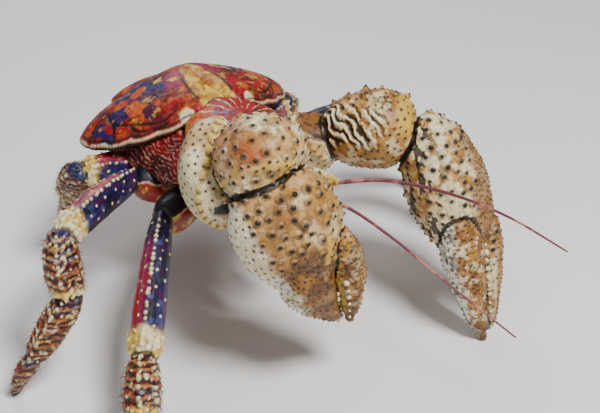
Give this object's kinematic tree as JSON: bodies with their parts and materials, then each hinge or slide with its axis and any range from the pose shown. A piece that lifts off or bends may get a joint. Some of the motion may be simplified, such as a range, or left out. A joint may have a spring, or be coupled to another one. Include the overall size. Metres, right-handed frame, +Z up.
{
  "type": "coconut crab",
  "caption": "Life-size coconut crab standing on its walking legs with both large claws hanging forward, a still model with a domed carapace and a tucked abdomen.",
  "frame": {"origin": "on the floor under the middle of the crab's whole footprint, claws and legs included", "axes": "+Z up, the crab faces -Y and its own left side is +X"},
  "size_m": [0.384, 0.3592, 0.1879],
  "materials": {
    "shell": "orange red shell plate with purple blotches, satin",
    "pale_shell": "pale ochre shell, satin",
    "claw_shell": "cream and ochre shell with dark tipped tubercles, satin",
    "leg_shell": "violet shell with pale knobs, satin",
    "soft_skin": "dark red wrinkled skin",
    "eye": "glossy dark red brown",
    "feeler": "dull pink purple"
  },
  "bodies": {
    "root": {"thorax": "soft_skin", "carapace_shield": "shell", "carapace_wedge": "pale_shell", "carapace_left": "shell", "carapace_right": "shell", "abdomen": "soft_skin", "telson": "shell", "abdomen_plate_2": "shell", "abdomen_plate_3": "shell", "abdomen_plate_4": "shell", "abdomen_plate_5": "shell", "eyestalk_left": "soft_skin", "eye_left": "eye", "antennule_left": "feeler", "antenna_left": "pale_shell", "flagellum_left": "feeler", "maxilliped_left": "soft_skin", "eyestalk_right": "soft_skin", "eye_right": "eye", "antennule_right": "feeler", "antenna_right": "pale_shell", "flagellum_right": "feeler", "maxilliped_right": "soft_skin", "claw_left_base": "claw_shell", "claw_left_merus": "claw_shell", "claw_left_carpus": "claw_shell", "claw_left_palm": "claw_shell", "claw_left_finger": "claw_shell", "claw_right_base": "claw_shell", "claw_right_merus": "claw_shell", "claw_right_carpus": "claw_shell", "claw_right_palm": "claw_shell", "claw_right_finger": "claw_shell", "leg2_right_base": "leg_shell", "leg2_right_merus": "leg_shell", "leg2_right_carpus": "leg_shell", "leg2_right_propodus": "leg_shell", "leg2_right_dactyl": "leg_shell", "leg3_right_base": "leg_shell", "leg3_right_merus": "leg_shell", "leg3_right_carpus": "leg_shell", "leg3_right_propodus": "leg_shell", "leg3_right_dactyl": "leg_shell", "leg2_left_base": "leg_shell", "leg2_left_merus": "leg_shell", "leg2_left_carpus": "leg_shell", "leg2_left_propodus": "leg_shell", "leg2_left_dactyl": "leg_shell", "leg3_left_base": "leg_shell", "leg3_left_merus": "leg_shell", "leg3_left_carpus": "leg_shell", "leg3_left_propodus": "leg_shell", "leg3_left_dactyl": "leg_shell", "leg4_right_merus": "leg_shell", "leg4_right_carpus": "leg_shell", "leg4_right_hand": "leg_shell", "leg4_left_merus": "leg_shell", "leg4_left_carpus": "leg_shell", "leg4_left_hand": "leg_shell"}
  },
  "joints": []
}
